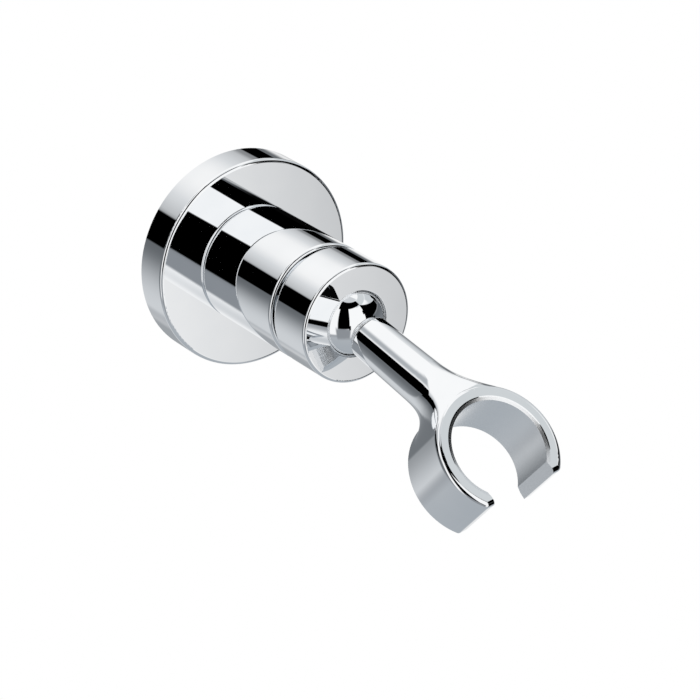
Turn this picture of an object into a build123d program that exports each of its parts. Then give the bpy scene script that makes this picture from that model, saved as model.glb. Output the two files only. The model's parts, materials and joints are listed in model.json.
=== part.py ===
from build123d import *
from math import cos, pi, radians, sin, sqrt
import os

os.makedirs("parts", exist_ok=True)

# Hand shower holder, millimetres. The wall is the plane Y = 0 and the holder stands out along -Y, Z is up.

# wall flange
flange_r = 26.8
flange_wall = 3.4
flange_depth = 9.25
flange_skin = 2.5
flange_edge = 0.9

# body sleeve and the nut in front of it
body_r = 15.0
body_end = 39.8
groove = 1.3
groove_round = 0.9
nut_end = 54.35
nut_front_round = 0.8
rear_edge = 0.9
nut_wall = 2.6
neck_wall = 1.8
neck_back = 0.203
floor_t = 2.15

# wall plate
plate_t = 4.0
boss_r = 10.0
screw_r = 2.5
screw_head_r = 4.75
screw_rim = 6.3

# lock screw under the body
lock_at = 19.0
lock_r = 2.0
lock_socket = 2.0
lock_notch = 0.9

# ball joint
cup_wall = 1.3
cup_floor = 5.203
ball_show = 0.533
stud_r = 3.0
stud_end = 22.0
rod_sink = 1.1
lip_gap = 0.387
lip_round = 0.5
nut_step = 1.1
washer_t = 0.8
spring_t = 0.9
spring_rise = 1.9
spring_hole_r = 5.4

# arm and clip
rod_r = 5.22
rod_taper = 0.022
rod_round = 1.0
swell_start = 28.0
swell_turn = 50.0
swell_foot = 0.9
swell_over = 1.2
flow_rod = 8.0
flow_side = 6.5
flow_top = 1.5
flow_foot = 1.0
clip_reach = 54.7
clip_drop = -0.3
clip_tilt = 28.0
clip_h = 16.1
clip_bore_r = 11.95
clip_wall = 3.8
clip_grip = 2.85
clip_short = 4.85
clip_lead = 0.95
clip_lead_depth = 0.4
clip_edge = 1.2

# how the arm hangs
rest_tilt = 15.9
rest_yaw = 7.9
rest_twist = 6.6

# clearances
slip = 0.05
free = 0.3
loose = 0.15
hair = 0.01

# sizes that follow from those above
hollow_r = flange_r - flange_wall
plate_r = hollow_r - 2 * free
screw_spread = 2 * (plate_r - screw_rim)
thread_r = body_r - nut_wall
bore_r = thread_r - neck_wall
seat_r = bore_r - free
seat_front_r = thread_r - nut_step
ball_r = seat_r - cup_wall
ball_out = ball_r * ball_show
ball_at = nut_end - ball_out
lip_r = sqrt(ball_r**2 - ball_out**2) + lip_gap
thread_end = ball_at - neck_back
cup_start = ball_at - ball_r - cup_floor
springs_end = cup_start - washer_t
floor_at = springs_end - 2 * spring_rise
boss_end = floor_at - floor_t - loose
rod_start = ball_r - rod_sink
clip_r = clip_bore_r + clip_wall
clip_front = clip_r - clip_short
clip_mouth = 2 * (clip_bore_r - clip_grip)
swell_low = clip_h - swell_foot

out = Plane(origin=(0, 0, 0), x_dir=(1, 0, 0), z_dir=(0, 0, -1))
body_axis = Axis((0, 0, 0), (0, -1, 0))
ball_centre = Pos(0, -ball_at, 0)
arm_place = ball_centre * Rot(Z=rest_yaw) * Rot(X=rest_tilt) * Rot(Y=-rest_twist)


# A turned piece from its half outline, each point (radius, distance from the wall).
def turned(*points):
    return revolve(out * make_face(Polyline(*points, close=True)), body_axis)


# The circular edges of a turned piece at one radius and one distance from the wall.
def rims(piece, radius, distance):
    found = piece.edges().filter_by(GeomType.CIRCLE)
    return [e for e in found if abs(e.radius - radius) < 0.02 and abs(-e.arc_center.Y - distance) < 0.02]


# A round pin along a piece's own axis, from one distance to another.
def pin(radius, start, end):
    return turned((0, start), (radius, start), (radius, end), (0, end))


# Wall plate: disc with a boss, a pull-in notch for the lock screw and two countersunk holes.
wall_plate = turned(
    (0, 0), (plate_r, 0), (plate_r, plate_t), (boss_r, plate_t),
    (boss_r, lock_at - lock_notch), (boss_r - lock_notch, lock_at), (boss_r, lock_at + lock_notch),
    (boss_r, boss_end - 1), (boss_r - 1, boss_end), (0, boss_end),
)
wall_plate = fillet(rims(wall_plate, boss_r, plate_t), 1.0)
sink = screw_head_r - screw_r
for side in (-1, 1):
    hole = turned(
        (0, -1), (screw_r, -1), (screw_r, plate_t - sink), (screw_head_r, plate_t), (screw_head_r, plate_t + 2),
        (0, plate_t + 2),
    )
    wall_plate -= Pos(0, 0, side * screw_spread / 2) * hole

# Wall flange: hollow cover round the plate.
wall_flange = turned(
    (hollow_r, 0), (flange_r, 0), (flange_r, flange_depth), (boss_r + loose, flange_depth),
    (boss_r + loose, flange_depth - flange_skin), (hollow_r, flange_depth - flange_skin),
)
wall_flange = fillet(rims(wall_flange, flange_r, flange_depth), flange_edge)

# Body: sleeve over the boss, a floor for the springs and a neck for the nut.
body = turned(
    (boss_r + slip, flange_depth), (body_r, flange_depth), (body_r, body_end), (thread_r, body_end),
    (thread_r, thread_end), (bore_r, thread_end), (bore_r, floor_at), (0, floor_at),
    (0, boss_end + loose), (boss_r + slip, boss_end + loose),
)
body = fillet(rims(body, body_r, flange_depth), rear_edge)
body = fillet(rims(body, body_r, body_end), groove_round)
lock_hole = Pos(0, -lock_at, -body_r) * Cylinder(lock_r + slip, 2 * (body_r - boss_r + lock_notch))
body -= lock_hole

# Lock screw: cone point in the boss notch, hexagon socket outside.
tip_z = -(boss_r - lock_notch) - slip
screw_shape = Polyline(
    (0, tip_z), (lock_r, tip_z - lock_r), (lock_r, -body_r + 0.8), (0, -body_r + 0.8), close=True
)
lock_screw = revolve(Plane.XZ * make_face(screw_shape), Axis.Z)
hexagon = RegularPolygon(lock_socket / 2, 6, major_radius=False)
lock_screw -= Pos(0, 0, -body_r + 0.8) * extrude(hexagon, 1.6)
lock_screw = Pos(0, -lock_at, 0) * lock_screw

# Cap nut: screws on the neck and holds the front seat by an inner cone, lip round the ball.
nut_start = body_end + groove
lip_at = nut_end - lip_round
cone_start = lip_at - (seat_front_r + slip - lip_r)
cap_nut = turned(
    (thread_r + slip, nut_start), (body_r, nut_start), (body_r, nut_end), (lip_r, nut_end),
    (lip_r, lip_at), (seat_front_r + slip, cone_start), (seat_front_r + slip, thread_end + free),
    (thread_r + slip, thread_end + free),
)
cap_nut = fillet(rims(cap_nut, body_r, nut_start), groove_round)
cap_nut = fillet(rims(cap_nut, body_r, nut_end), nut_front_round)
cap_nut = fillet(rims(cap_nut, lip_r, nut_end), lip_round * 0.9)

# Seats: both fit the ball, the front one lies in the cone of the nut.
socket = ball_centre * Sphere(ball_r + slip)
seat_nose = 0.6
front_seat = turned(
    (ball_r - 1, thread_end + free), (seat_front_r, thread_end + free), (seat_front_r, cone_start - slip),
    (lip_r + seat_nose, lip_at - seat_nose - 2 * slip), (lip_r - 1, lip_at - seat_nose - 2 * slip),
)
front_seat -= socket
rear_seat = pin(seat_r, cup_start, ball_at - 3) - socket
rear_seat = fillet(rims(rear_seat, seat_r, cup_start), 0.6)

# Thrust washer and the two disc springs, set back to back.
washer = turned(
    (spring_hole_r, springs_end), (seat_r, springs_end), (seat_r, cup_start), (spring_hole_r, cup_start)
)
disc_spring_rear = turned(
    (spring_hole_r, floor_at + spring_rise - spring_t), (seat_r, floor_at),
    (seat_r, floor_at + spring_t), (spring_hole_r, floor_at + spring_rise),
)
middle = floor_at + spring_rise
disc_spring_front = disc_spring_rear.mirror(Plane(origin=(0, -middle, 0), z_dir=(0, 1, 0)))

# Ball stud along the arm: ball with a flat for the end of the rod, stud.
ball_stud = Sphere(ball_r) - Pos(0, -ball_r - rod_start + slip, 0) * Box(2 * ball_r, 2 * ball_r, 2 * ball_r)
ball_stud += pin(stud_r, 0, stud_end)
ball_stud = arm_place * ball_stud

tilt_c = cos(radians(clip_tilt))
tilt_s = sin(radians(clip_tilt))


# A point given in the clip's own frame (axis up, rod behind it), as seen from the ball.
def on_clip(x, y, z):
    return Vector(x, -clip_reach + y * tilt_c - z * tilt_s, clip_drop + y * tilt_s + z * tilt_c)


# A point just under the clip's skin: round the axis, then up the wall, over the rounded edge and inward.
def on_skin(turn, height):
    over = min(max(1 + height / clip_edge, 0), pi / 2)
    radius = clip_r - clip_edge + (clip_edge - hair) * cos(over) - max(height + clip_edge * (1 - pi / 2), 0)
    level = -clip_edge + (clip_edge - hair) * sin(over) + min(height + clip_edge, 0)
    return on_clip(radius * sin(turn), radius * cos(turn), level)


# The line where the swell runs out on the clip, a rounded rectangle: the top is at +90 degrees, the foot at -90.
def run_out(angle, wide, tall):
    across = (3 * cos(angle) - cos(angle) ** 3) / 2
    upward = sin(angle) + (sin(angle) - sin(angle) ** 3) * (1 - sin(angle)) / 4
    centre = (swell_over - swell_low) / 2
    return on_skin(wide * radians(swell_turn) * across, centre + tall * upward * (swell_over + swell_low) / 2)


def rod_at(distance):
    return rod_r + rod_taper * distance


def on_rod(angle, distance):
    radius = rod_at(distance) + hair
    return Vector(radius * cos(angle), -distance, radius * sin(angle))


# A point of the swell: it leaves along the rod and arrives along the clip's skin.
def on_swell(angle, t):
    upright = sin(angle) ** 12
    share = sin(angle) ** 4
    end = run_out(angle, 1, 1)
    before = run_out(angle, 0.98 + 0.02 * upright, 1 - 0.02 * upright)
    flow = flow_side * (1 - share) + (flow_top if angle > 0 else flow_foot) * share
    arriving = end - (end - before).normalized() * flow
    leaving = [on_rod(angle, swell_start), on_rod(angle, swell_start + flow_rod)]
    s = 1 - t
    return leaving[0] * s**3 + leaving[1] * (3 * s * s * t) + arriving * (3 * s * t * t) + end * t**3


# Arm: the rod swells into the clip wall and its top runs out into the clip's top face.
angles = [pi / 2 - pi * i / 40 for i in range(41)]
net = [[on_swell(angle, j / 30) for j in range(31)] for angle in angles]
half = Face.make_surface_from_array_of_points(net, tol=0.01, min_deg=3, max_deg=3)
start, landing = (half.edges().sort_by(Axis.Y)[end] for end in (-1, 0))
spine = Edge.make_line(on_clip(0, clip_bore_r / 2, -clip_h * 3 / 4), on_clip(0, clip_bore_r / 2, -clip_h / 4))
inner = Face.make_surface_from_curves(landing, spine)
cap = Face(Wire([start, start.mirror(Plane.YZ)]))
swell = Solid(Shell([half, half.mirror(Plane.YZ), inner, inner.mirror(Plane.YZ), cap]))
rod_end = swell_start + rod_round / 2
rod = turned((0, rod_start), (rod_at(rod_start), rod_start), (rod_at(rod_end), rod_end), (0, rod_end))
rod = fillet(rims(rod, rod_at(rod_start), rod_start), rod_round)
clip_place = Pos(0, -clip_reach, clip_drop) * Rot(X=clip_tilt)
bore = revolve(
    Plane.XZ * make_face(Polyline(
        (0, -clip_h - 3 * clip_lead_depth), (clip_bore_r + 4 * clip_lead, -clip_h - 3 * clip_lead_depth),
        (clip_bore_r, -clip_h + clip_lead_depth), (clip_bore_r, -clip_lead_depth),
        (clip_bore_r + 4 * clip_lead, 3 * clip_lead_depth), (0, 3 * clip_lead_depth), close=True,
    )),
    Axis.Z,
)
mouth = Pos(0, -clip_r, 0) * Box(clip_mouth, 2 * clip_r, 4 * clip_h)
front = Pos(0, -clip_front - clip_r, 0) * Box(4 * clip_r, 2 * clip_r, 4 * clip_h)
clip = Pos(0, 0, -clip_h / 2) * Cylinder(clip_r, clip_h) - (bore + mouth + front)
tips = clip.edges().filter_by_position(Axis.Y, -clip_front - slip, -clip_front + slip)
soft = [e for e in tips if e.center().Z > -slip or abs(e.center().X) > clip_mouth / 2 + 2]
soft += [e for e in clip.edges().group_by(Axis.Z)[-1].filter_by(GeomType.CIRCLE) if e.radius > clip_r - slip]
clip = fillet(soft, clip_edge)
arm = rod + (swell - clip_place * bore) + clip_place * clip
arm -= pin(stud_r + slip, rod_start - 1, stud_end + 1)
arm = arm_place * arm

pieces = {
    "wall_plate": wall_plate,
    "wall_flange": wall_flange,
    "body": body,
    "lock_screw": lock_screw,
    "cap_nut": cap_nut,
    "front_seat": front_seat,
    "rear_seat": rear_seat,
    "thrust_washer": washer,
    "disc_spring_rear": disc_spring_rear,
    "disc_spring_front": disc_spring_front,
    "ball_stud": ball_stud,
    "arm": arm,
}
for name, piece in pieces.items():
    export_step(piece, "parts/" + name + ".step")
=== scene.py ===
import json
from math import cos, radians, sin

import bpy
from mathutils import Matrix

# Hand shower holder on a wall: chrome flange, body, nut, ball and an arm with an open clip.
# Metres, wall at Y = 0, the holder stands out along -Y, Z is up.

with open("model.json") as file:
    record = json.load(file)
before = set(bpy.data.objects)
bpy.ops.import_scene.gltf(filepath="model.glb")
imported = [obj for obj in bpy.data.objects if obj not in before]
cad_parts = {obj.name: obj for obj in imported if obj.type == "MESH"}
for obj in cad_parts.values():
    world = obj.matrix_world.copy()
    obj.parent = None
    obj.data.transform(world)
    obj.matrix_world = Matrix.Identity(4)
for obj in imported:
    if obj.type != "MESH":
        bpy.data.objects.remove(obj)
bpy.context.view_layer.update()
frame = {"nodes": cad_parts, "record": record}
scene = bpy.context.scene
scene.view_settings.view_transform = "Standard"
print("frame loaded:", len(frame["nodes"]), "pieces")

mm = 0.001
ballCentre = (0.0, -49.55 * mm, 0.0)


# sRGB hex code to Blender's linear colour
def linear(hexCode):
    channels = [int(hexCode[i:i + 2], 16) / 255 for i in (1, 3, 5)]
    return tuple(c / 12.92 if c <= 0.04045 else ((c + 0.055) / 1.055) ** 2.4 for c in channels) + (1.0,)


# adds one node: settings go to its sockets or properties, links give its inputs
def addNode(tree, kind, settings=None, links=None):
    node = tree.nodes.new(kind)
    for key, value in (settings or {}).items():
        if isinstance(key, int) or key in node.inputs:
            node.inputs[key].default_value = value
        else:
            setattr(node, key, value)
    for key, source in (links or {}).items():
        tree.links.new(source, node.inputs[key])
    return node


def newMaterial(name):
    material = bpy.data.materials.new(name)
    material.use_nodes = True
    material.node_tree.nodes.clear()
    return material, material.node_tree


# Camera

cameraSetup = {
    "place": (-374.71 * mm, -608.16 * mm, 291.39 * mm),
    "down": 24.03,    # degrees below the horizon
    "turn": -33.94,   # degrees about Z
    "sensor": 36.0,   # mm wide
    "lens": 159.43,   # mm
    "near": 10 * mm,  # nothing closer is drawn
}
cameraData = bpy.data.cameras.new("camera")
cameraData.sensor_width = cameraSetup["sensor"]
cameraData.lens = cameraSetup["lens"]
cameraData.clip_start = cameraSetup["near"]
camera = bpy.data.objects.new("camera", cameraData)
camera.location = cameraSetup["place"]
camera.rotation_euler = (radians(90 - cameraSetup["down"]), 0.0, radians(cameraSetup["turn"]))
scene.collection.objects.link(camera)
scene.camera = camera
print("camera set")


# Materials, lengths in mm

# Bright chrome over polished brass: mirror sharp, faintly wavy from the buffing wheel.
chromeSetup = {
    "bright": "#fbfcfd",
    "cool": "#f3f5f7",
    "cloudSize": 9.0,        # across a cloud of tone
    "cloudDetail": 2.0,
    "haze": (0.005, 0.012),  # roughness, clean to hazy
    "hazeSpan": (0.3, 0.7),  # part of the noise that runs from clean to hazy
    "hazeSize": 3.0,
    "hazeDetail": 3.0,
    "rippleSize": 4.0,       # buffing waves, drawn a little coarser than real so that they show
    "rippleDetail": 0.0,
    "rippleStrength": 0.3,
    "rippleDepth": 0.0004,
}

# The buffing wheel does not reach the clip's bore and mouth: the plate is satin there, with drawn streaks.
clipBore = {
    "middle": (7.297, -95.947, -21.027),    # half way down the bore
    "across": (0.98827, 0.10534, 0.11054),  # from tip to tip
    "back": (-0.1526, 0.70714, 0.69041),    # away from the mouth
    "along": (-0.00544, -0.69918, 0.71492),
    "insideFade": (12.55, 12.85),           # from the axis: the satin dies away over the lead
    "betweenFade": (9.15, 9.25),            # to either side: half the mouth
    "aheadFade": (-5.0, -4.0),              # back from the axis: the flats of the mouth start here
    "satin": 0.26,                          # added roughness
    "streakSize": 0.7,                      # wide
    "streakStretch": 10,                    # times as long as wide
    "streakDetail": 2.0,
    "streakStrength": 0.4,
    "streakDepth": 0.004,
}


# 1 in the bore and on the two flats of the mouth, 0 on the rest of the arm,
# and coordinates in the clip's own axes that draw noise out along the bore
def boreMask(tree, coords, bore):
    middle = tuple(v * mm for v in bore["middle"])
    offset = addNode(
        tree, "ShaderNodeVectorMath", {"operation": "SUBTRACT", 1: middle}, {0: coords.outputs["Object"]}
    )
    parts = {}
    for key in ("across", "back", "along"):
        dot = addNode(
            tree, "ShaderNodeVectorMath", {"operation": "DOT_PRODUCT", 1: bore[key]},
            {0: offset.outputs["Vector"]},
        )
        parts[key] = dot.outputs["Value"]
    flat = addNode(tree, "ShaderNodeCombineXYZ", links={"X": parts["across"], "Y": parts["back"]})
    radial = addNode(tree, "ShaderNodeVectorMath", {"operation": "LENGTH"}, {0: flat.outputs["Vector"]})
    side = addNode(tree, "ShaderNodeMath", {"operation": "ABSOLUTE"}, {0: parts["across"]})
    distances = {
        "inside": radial.outputs["Value"],
        "between": side.outputs["Value"],
        "ahead": parts["back"],
    }
    masks = {}
    for key, distance in distances.items():
        start, end = bore[key + "Fade"]
        fade = addNode(
            tree, "ShaderNodeMapRange",
            {"From Min": start * mm, "From Max": end * mm, "To Min": 1.0, "To Max": 0.0},
            {"Value": distance},
        )
        masks[key] = fade.outputs["Result"]
    mouth = addNode(
        tree, "ShaderNodeMath", {"operation": "MULTIPLY"}, {0: masks["between"], 1: masks["ahead"]}
    )
    satin = addNode(
        tree, "ShaderNodeMath", {"operation": "MAXIMUM"}, {0: masks["inside"], 1: mouth.outputs["Value"]}
    )
    squeezed = addNode(
        tree, "ShaderNodeMath", {"operation": "MULTIPLY", 1: 1 / bore["streakStretch"]}, {0: parts["along"]}
    )
    drawn = addNode(
        tree, "ShaderNodeCombineXYZ",
        links={"X": parts["across"], "Y": parts["back"], "Z": squeezed.outputs["Value"]},
    )
    return satin.outputs["Value"], drawn.outputs["Vector"]


def buffedChrome(name, setup, bore=None):
    material, tree = newMaterial(name)
    coords = addNode(tree, "ShaderNodeTexCoord")
    noises = {}
    for key in ("cloud", "haze", "ripple"):
        noise = addNode(
            tree, "ShaderNodeTexNoise",
            {"Scale": 1 / (setup[key + "Size"] * mm), "Detail": setup[key + "Detail"]},
            {"Vector": coords.outputs["Object"]},
        )
        noises[key] = noise.outputs["Fac"]
    tone = addNode(tree, "ShaderNodeValToRGB", links={"Fac": noises["cloud"]})
    tone.color_ramp.elements[0].color = linear(setup["cool"])
    tone.color_ramp.elements[1].color = linear(setup["bright"])
    haze = addNode(
        tree, "ShaderNodeMapRange",
        {
            "From Min": setup["hazeSpan"][0], "From Max": setup["hazeSpan"][1],
            "To Min": setup["haze"][0], "To Max": setup["haze"][1],
        },
        {"Value": noises["haze"]},
    )
    bump = addNode(
        tree, "ShaderNodeBump",
        {"Strength": setup["rippleStrength"], "Distance": setup["rippleDepth"] * mm},
        {"Height": noises["ripple"]},
    )
    rough, normal = haze.outputs["Result"], bump.outputs["Normal"]
    if bore:
        satin, drawn = boreMask(tree, coords, bore)
        streaks = addNode(
            tree, "ShaderNodeTexNoise",
            {"Scale": 1 / (bore["streakSize"] * mm), "Detail": bore["streakDetail"]},
            {"Vector": drawn},
        )
        shown = addNode(
            tree, "ShaderNodeMath", {"operation": "MULTIPLY"}, {0: streaks.outputs["Fac"], 1: satin}
        )
        drawnBump = addNode(
            tree, "ShaderNodeBump",
            {"Strength": bore["streakStrength"], "Distance": bore["streakDepth"] * mm},
            {"Height": shown.outputs["Value"], "Normal": normal},
        )
        roughSum = addNode(
            tree, "ShaderNodeMath", {"operation": "MULTIPLY_ADD", 1: bore["satin"]}, {0: satin, 2: rough}
        )
        rough, normal = roughSum.outputs["Value"], drawnBump.outputs["Normal"]
    shader = addNode(
        tree, "ShaderNodeBsdfPrincipled", {"Metallic": 1.0},
        {"Base Color": tone.outputs["Color"], "Roughness": rough, "Normal": normal},
    )
    addNode(tree, "ShaderNodeOutputMaterial", links={"Surface": shader.outputs["BSDF"]})
    return material


# Zinc casting: grey skin with the soft grain of the die.
zincSetup = {
    "light": "#a9abad",
    "dark": "#8d8f92",
    "toneSpan": (0.3, 0.7),  # part of the noise that runs from dark to light
    "grain": 0.8,            # drawn coarser than real so that it shows
    "detail": 4.0,
    "roughness": (0.38, 0.55),
    "strength": 0.5,
    "depth": 0.02,
}

# Spring steel strip: darker and smoother.
steelSetup = {
    "light": "#8f9296",
    "dark": "#75787c",
    "toneSpan": (0.3, 0.7),
    "grain": 0.5,            # drawn coarser than real so that it shows
    "detail": 4.0,
    "roughness": (0.25, 0.4),
    "strength": 0.5,
    "depth": 0.005,
}


def grainyMetal(name, setup):
    material, tree = newMaterial(name)
    coords = addNode(tree, "ShaderNodeTexCoord")
    grain = addNode(
        tree, "ShaderNodeTexNoise", {"Scale": 1 / (setup["grain"] * mm), "Detail": setup["detail"]},
        {"Vector": coords.outputs["Object"]},
    )
    tone = addNode(tree, "ShaderNodeValToRGB", links={"Fac": grain.outputs["Fac"]})
    for stop, shade, position in zip(tone.color_ramp.elements, ("dark", "light"), setup["toneSpan"]):
        stop.position = position
        stop.color = linear(setup[shade])
    rough = addNode(
        tree, "ShaderNodeMapRange", {"To Min": setup["roughness"][0], "To Max": setup["roughness"][1]},
        {"Value": grain.outputs["Fac"]},
    )
    bump = addNode(
        tree, "ShaderNodeBump", {"Strength": setup["strength"], "Distance": setup["depth"] * mm},
        {"Height": grain.outputs["Fac"]},
    )
    shader = addNode(
        tree, "ShaderNodeBsdfPrincipled", {"Metallic": 1.0},
        {
            "Base Color": tone.outputs["Color"],
            "Roughness": rough.outputs["Result"],
            "Normal": bump.outputs["Normal"],
        },
    )
    addNode(tree, "ShaderNodeOutputMaterial", links={"Surface": shader.outputs["BSDF"]})
    return material


# Acetal: milky white moulding with a waxy sheen.
acetalSetup = {
    "light": "#efeee8",
    "dark": "#e4e3db",
    "cloud": 2.5,
    "detail": 2.0,
    "roughness": (0.32, 0.42),
    "ior": 1.48,
}


def waxyPlastic(name, setup):
    material, tree = newMaterial(name)
    coords = addNode(tree, "ShaderNodeTexCoord")
    cloud = addNode(
        tree, "ShaderNodeTexNoise", {"Scale": 1 / (setup["cloud"] * mm), "Detail": setup["detail"]},
        {"Vector": coords.outputs["Object"]},
    )
    tone = addNode(tree, "ShaderNodeValToRGB", links={"Fac": cloud.outputs["Fac"]})
    tone.color_ramp.elements[0].color = linear(setup["dark"])
    tone.color_ramp.elements[1].color = linear(setup["light"])
    rough = addNode(
        tree, "ShaderNodeMapRange", {"To Min": setup["roughness"][0], "To Max": setup["roughness"][1]},
        {"Value": cloud.outputs["Fac"]},
    )
    shader = addNode(
        tree, "ShaderNodeBsdfPrincipled", {"IOR": setup["ior"]},
        {"Base Color": tone.outputs["Color"], "Roughness": rough.outputs["Result"]},
    )
    addNode(tree, "ShaderNodeOutputMaterial", links={"Surface": shader.outputs["BSDF"]})
    return material


finishes = {
    "chrome": buffedChrome("polished chrome plate on brass", chromeSetup),
    "zinc_casting": grainyMetal("zinc die casting", zincSetup),
    "spring_steel": grainyMetal("spring steel strip", steelSetup),
    "acetal": waxyPlastic("moulded acetal", acetalSetup),
}
slotOf = {entry["node"]: entry["material_slot"] for entry in frame["record"]["subparts"]}
for name, piece in frame["nodes"].items():
    piece.data.materials.clear()
    piece.data.materials.append(finishes[slotOf[name]])
armChrome = buffedChrome("chrome plate, satin in the clip", chromeSetup, clipBore)
frame["nodes"]["arm"].data.materials[0] = armChrome
print("materials on", len(slotOf), "pieces")


# Studio: a light tent with white, grey and black cards, which the chrome mirrors.
# The camera looks straight through it.

tentSetup = {
    "radius": 1.4,
    "segments": 64,
    "rings": 32,
    "tones": [  # latitude in degrees and the tone of the tent wall there
        (-90, "#a9afb5"), (-44, "#b0b5ba"), (-34, "#9ca0a5"), (-24, "#868a8e"), (-16, "#787c80"),
        (-8, "#6b6f73"), (0, "#64686c"), (19, "#8c8e90"), (22, "#c0c2c4"), (30, "#dcdee0"),
        (36, "#f8f8f8"), (42, "#ffffff"), (78, "#ffffff"), (90, "#ececec"),
    ],
}


def lightTent(setup):
    bpy.ops.mesh.primitive_uv_sphere_add(
        segments=setup["segments"], ring_count=setup["rings"], radius=setup["radius"], location=ballCentre
    )
    tent = bpy.context.object
    tent.name = "lightTent"
    material, tree = newMaterial("tent fabric")
    coords = addNode(tree, "ShaderNodeTexCoord")
    parts = addNode(tree, "ShaderNodeSeparateXYZ", links={"Vector": coords.outputs["Generated"]})
    ramp = addNode(tree, "ShaderNodeValToRGB", links={"Fac": parts.outputs["Z"]})
    stops = ramp.color_ramp.elements
    while len(stops) < len(setup["tones"]):
        stops.new(0.5)  # the next lines put it in its place
    for stop, (latitude, hexCode) in zip(stops, setup["tones"]):
        stop.position = (sin(radians(latitude)) + 1) / 2
        stop.color = linear(hexCode)
    light = addNode(tree, "ShaderNodeEmission", links={"Color": ramp.outputs["Color"]})
    addNode(tree, "ShaderNodeOutputMaterial", links={"Surface": light.outputs["Emission"]})
    tent.data.materials.append(material)
    tent.visible_camera = False


# longitude runs from the front (-Y) towards +X, latitude up from the horizon
def direction(longitude, latitude):
    turn, rise = radians(longitude), radians(latitude)
    return (sin(turn) * cos(rise), -cos(turn) * cos(rise), sin(rise))


# a lit or black surface that fades out towards the edges of its card
def cardFace(name, hexCode):
    material, tree = newMaterial(name)
    fade = addNode(tree, "ShaderNodeAttribute", {"attribute_name": "fade"})
    clear = addNode(tree, "ShaderNodeBsdfTransparent")
    light = addNode(tree, "ShaderNodeEmission", {"Color": linear(hexCode)})
    mixed = addNode(
        tree, "ShaderNodeMixShader",
        links={0: fade.outputs["Fac"], 1: clear.outputs["BSDF"], 2: light.outputs["Emission"]},
    )
    addNode(tree, "ShaderNodeOutputMaterial", links={"Surface": mixed.outputs["Shader"]})
    return material


# a bent card inside the tent: longitudes of its two ends, latitudes (low, high) of its long edges,
# and endLats where these lie otherwise at the second end
# soft is how many degrees its end edges and its long edges take to fade,
# inset is how far inside the tent wall it hangs, as a share of the radius
def studioCard(name, longitudes, lats, hexCode, soft=(1, 1), inset=0.02, endLats=None):
    across, along = 60, 40
    endLats = endLats or lats
    reach = tentSetup["radius"] * (1 - inset)
    points, faces, fades = [], [], []
    for i in range(across + 1):
        share = i / across
        longitude = longitudes[0] + (longitudes[1] - longitudes[0]) * share
        low = lats[0] + (endLats[0] - lats[0]) * share
        high = lats[1] + (endLats[1] - lats[1]) * share
        for k in range(along + 1):
            latitude = low + (high - low) * k / along
            ray = direction(longitude, latitude)
            points.append([ballCentre[axis] + reach * ray[axis] for axis in range(3)])
            endEdge = min(longitude - longitudes[0], longitudes[1] - longitude) / soft[0]
            longEdge = min(latitude - low, high - latitude) / soft[1]
            fade = min(endEdge, longEdge, 1.0)
            fades.append(fade * fade * (3 - 2 * fade))  # eases in and out
    for i in range(across):
        for k in range(along):
            corner = i * (along + 1) + k
            faces.append((corner, corner + along + 1, corner + along + 2, corner + 1))
    mesh = bpy.data.meshes.new(name)
    mesh.from_pydata(points, [], faces)
    mesh.attributes.new("fade", "FLOAT", "POINT").data.foreach_set("value", fades)
    mesh.materials.append(cardFace(name + " face", hexCode))
    card = bpy.data.objects.new(name, mesh)
    scene.collection.objects.link(card)
    card.visible_camera = False


lightTent(tentSetup)

# white and grey cards
studioCard("softBoxLeft", (-88, -54), (-36, 50), "#fdfdfd", (6, 6), 0.01)
studioCard("softBoxFront", (-26, 34), (-16, 46), "#ffffff", (3, 3), 0.014)
studioCard("lowReflector", (-38, 46), (-48, 2), "#f8f8f8", (20, 14), 0.012)
studioCard("lowGreyCard", (-66, -16), (-54, -6), "#8f9398", (6, 14), 0.016)
studioCard("rearReflectorLeft", (-176, -134), (-80, -1), "#d0d3d6", (10, 34), 0.011)
studioCard("rearReflectorRight", (-250, -170), (-66, 2), "#e2e3e4", (10, 30), 0.0105, endLats=(-66, -28))
studioCard("rearWhiteCard", (-244, -210), (-56, 2), "#f8f8f8", (8, 10), 0.012, endLats=(-30, 2))
studioCard("rearGreyCard", (-212, -178), (-46, -22), "#a0a4a8", (8, 8), 0.013)
studioCard("rightWash", (66, 132), (0, 46), "#ccd0d3", (8, 8), 0.011)
studioCard("topRightCard", (12, 125), (42, 62), "#d2d6d8", (2, 2), 0.012, endLats=(42, 60))
studioCard("topGreyCard", (-64, 50), (58, 86), "#d0d3d6", (8, 8), 0.011)
studioCard("sideGreyCard", (-146, -96), (36, 66), "#b0b4b8", (6, 12), 0.011)

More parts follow.
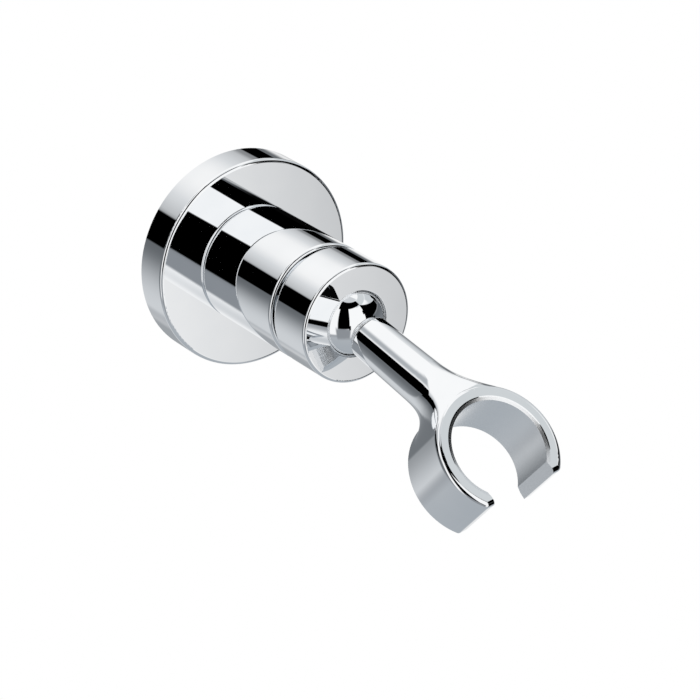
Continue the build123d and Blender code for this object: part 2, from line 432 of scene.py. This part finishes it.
# black flags, for the dark bands in the chrome
studioCard("blackFlagLeft", (-57, -21.5), (-14, 62), "#000000")
studioCard("blackFlagFoot", (-24, -18), (-18, -3.5), "#000000", inset=0.03)
studioCard("blackFlagTop", (-64, 34), (44.5, 72), "#000000", inset=0.03, endLats=(47.5, 62))
studioCard("blackFlagRight", (30, 97), (3, 48), "#000000", endLats=(3, 14))
studioCard("blackFlagInner", (26, 33), (19, 30.5), "#000000", inset=0.03)
studioCard("blackFlagLow", (37.6, 60), (-46, 6), "#060606", inset=0.03)
studioCard("blackFlagCorner", (31, 36.4), (-14, 0), "#060606", inset=0.04)
studioCard("blackFlagEnd", (57, 67), (-10, 0), "#060606", inset=0.04)
studioCard("blackFlagRear", (-224, -136), (4.5, 16), "#000000", endLats=(0.2, 21.2))
studioCard("blackFlagSide", (-143.5, -104), (4, 36), "#000000", endLats=(4, 38))
print("studio set")


# Floor far below the wall holder, white where the camera or the metal sees it.
floorSetup = {"height": -1.5, "size": 12.0, "hex": "#f4f4f4"}
bpy.ops.mesh.primitive_plane_add(size=floorSetup["size"], location=(0, 0, floorSetup["height"]))
floor = bpy.context.object
floor.name = "floor"
floorMaterial, tree = newMaterial("pale studio floor")
path = addNode(tree, "ShaderNodeLightPath")
seen = addNode(
    tree, "ShaderNodeMath", {"operation": "MAXIMUM"},
    {0: path.outputs["Is Camera Ray"], 1: path.outputs["Is Glossy Ray"]},
)
seenAll = addNode(
    tree, "ShaderNodeMath", {"operation": "MAXIMUM"},
    {0: seen.outputs["Value"], 1: path.outputs["Is Transmission Ray"]},
)
matt = addNode(tree, "ShaderNodeBsdfDiffuse", {"Color": linear(floorSetup["hex"])})
white = addNode(tree, "ShaderNodeEmission", {"Strength": 1.0})
mixed = addNode(
    tree, "ShaderNodeMixShader",
    links={0: seenAll.outputs["Value"], 1: matt.outputs["BSDF"], 2: white.outputs["Emission"]},
)
addNode(tree, "ShaderNodeOutputMaterial", links={"Surface": mixed.outputs["Shader"]})
floor.data.materials.append(floorMaterial)

world = bpy.data.worlds.new("studio")
world.use_nodes = True
background = world.node_tree.nodes["Background"]
background.inputs["Color"].default_value = (1.0, 1.0, 1.0, 1.0)
background.inputs["Strength"].default_value = 1.0
scene.world = world
print("floor and world set")

print("done")
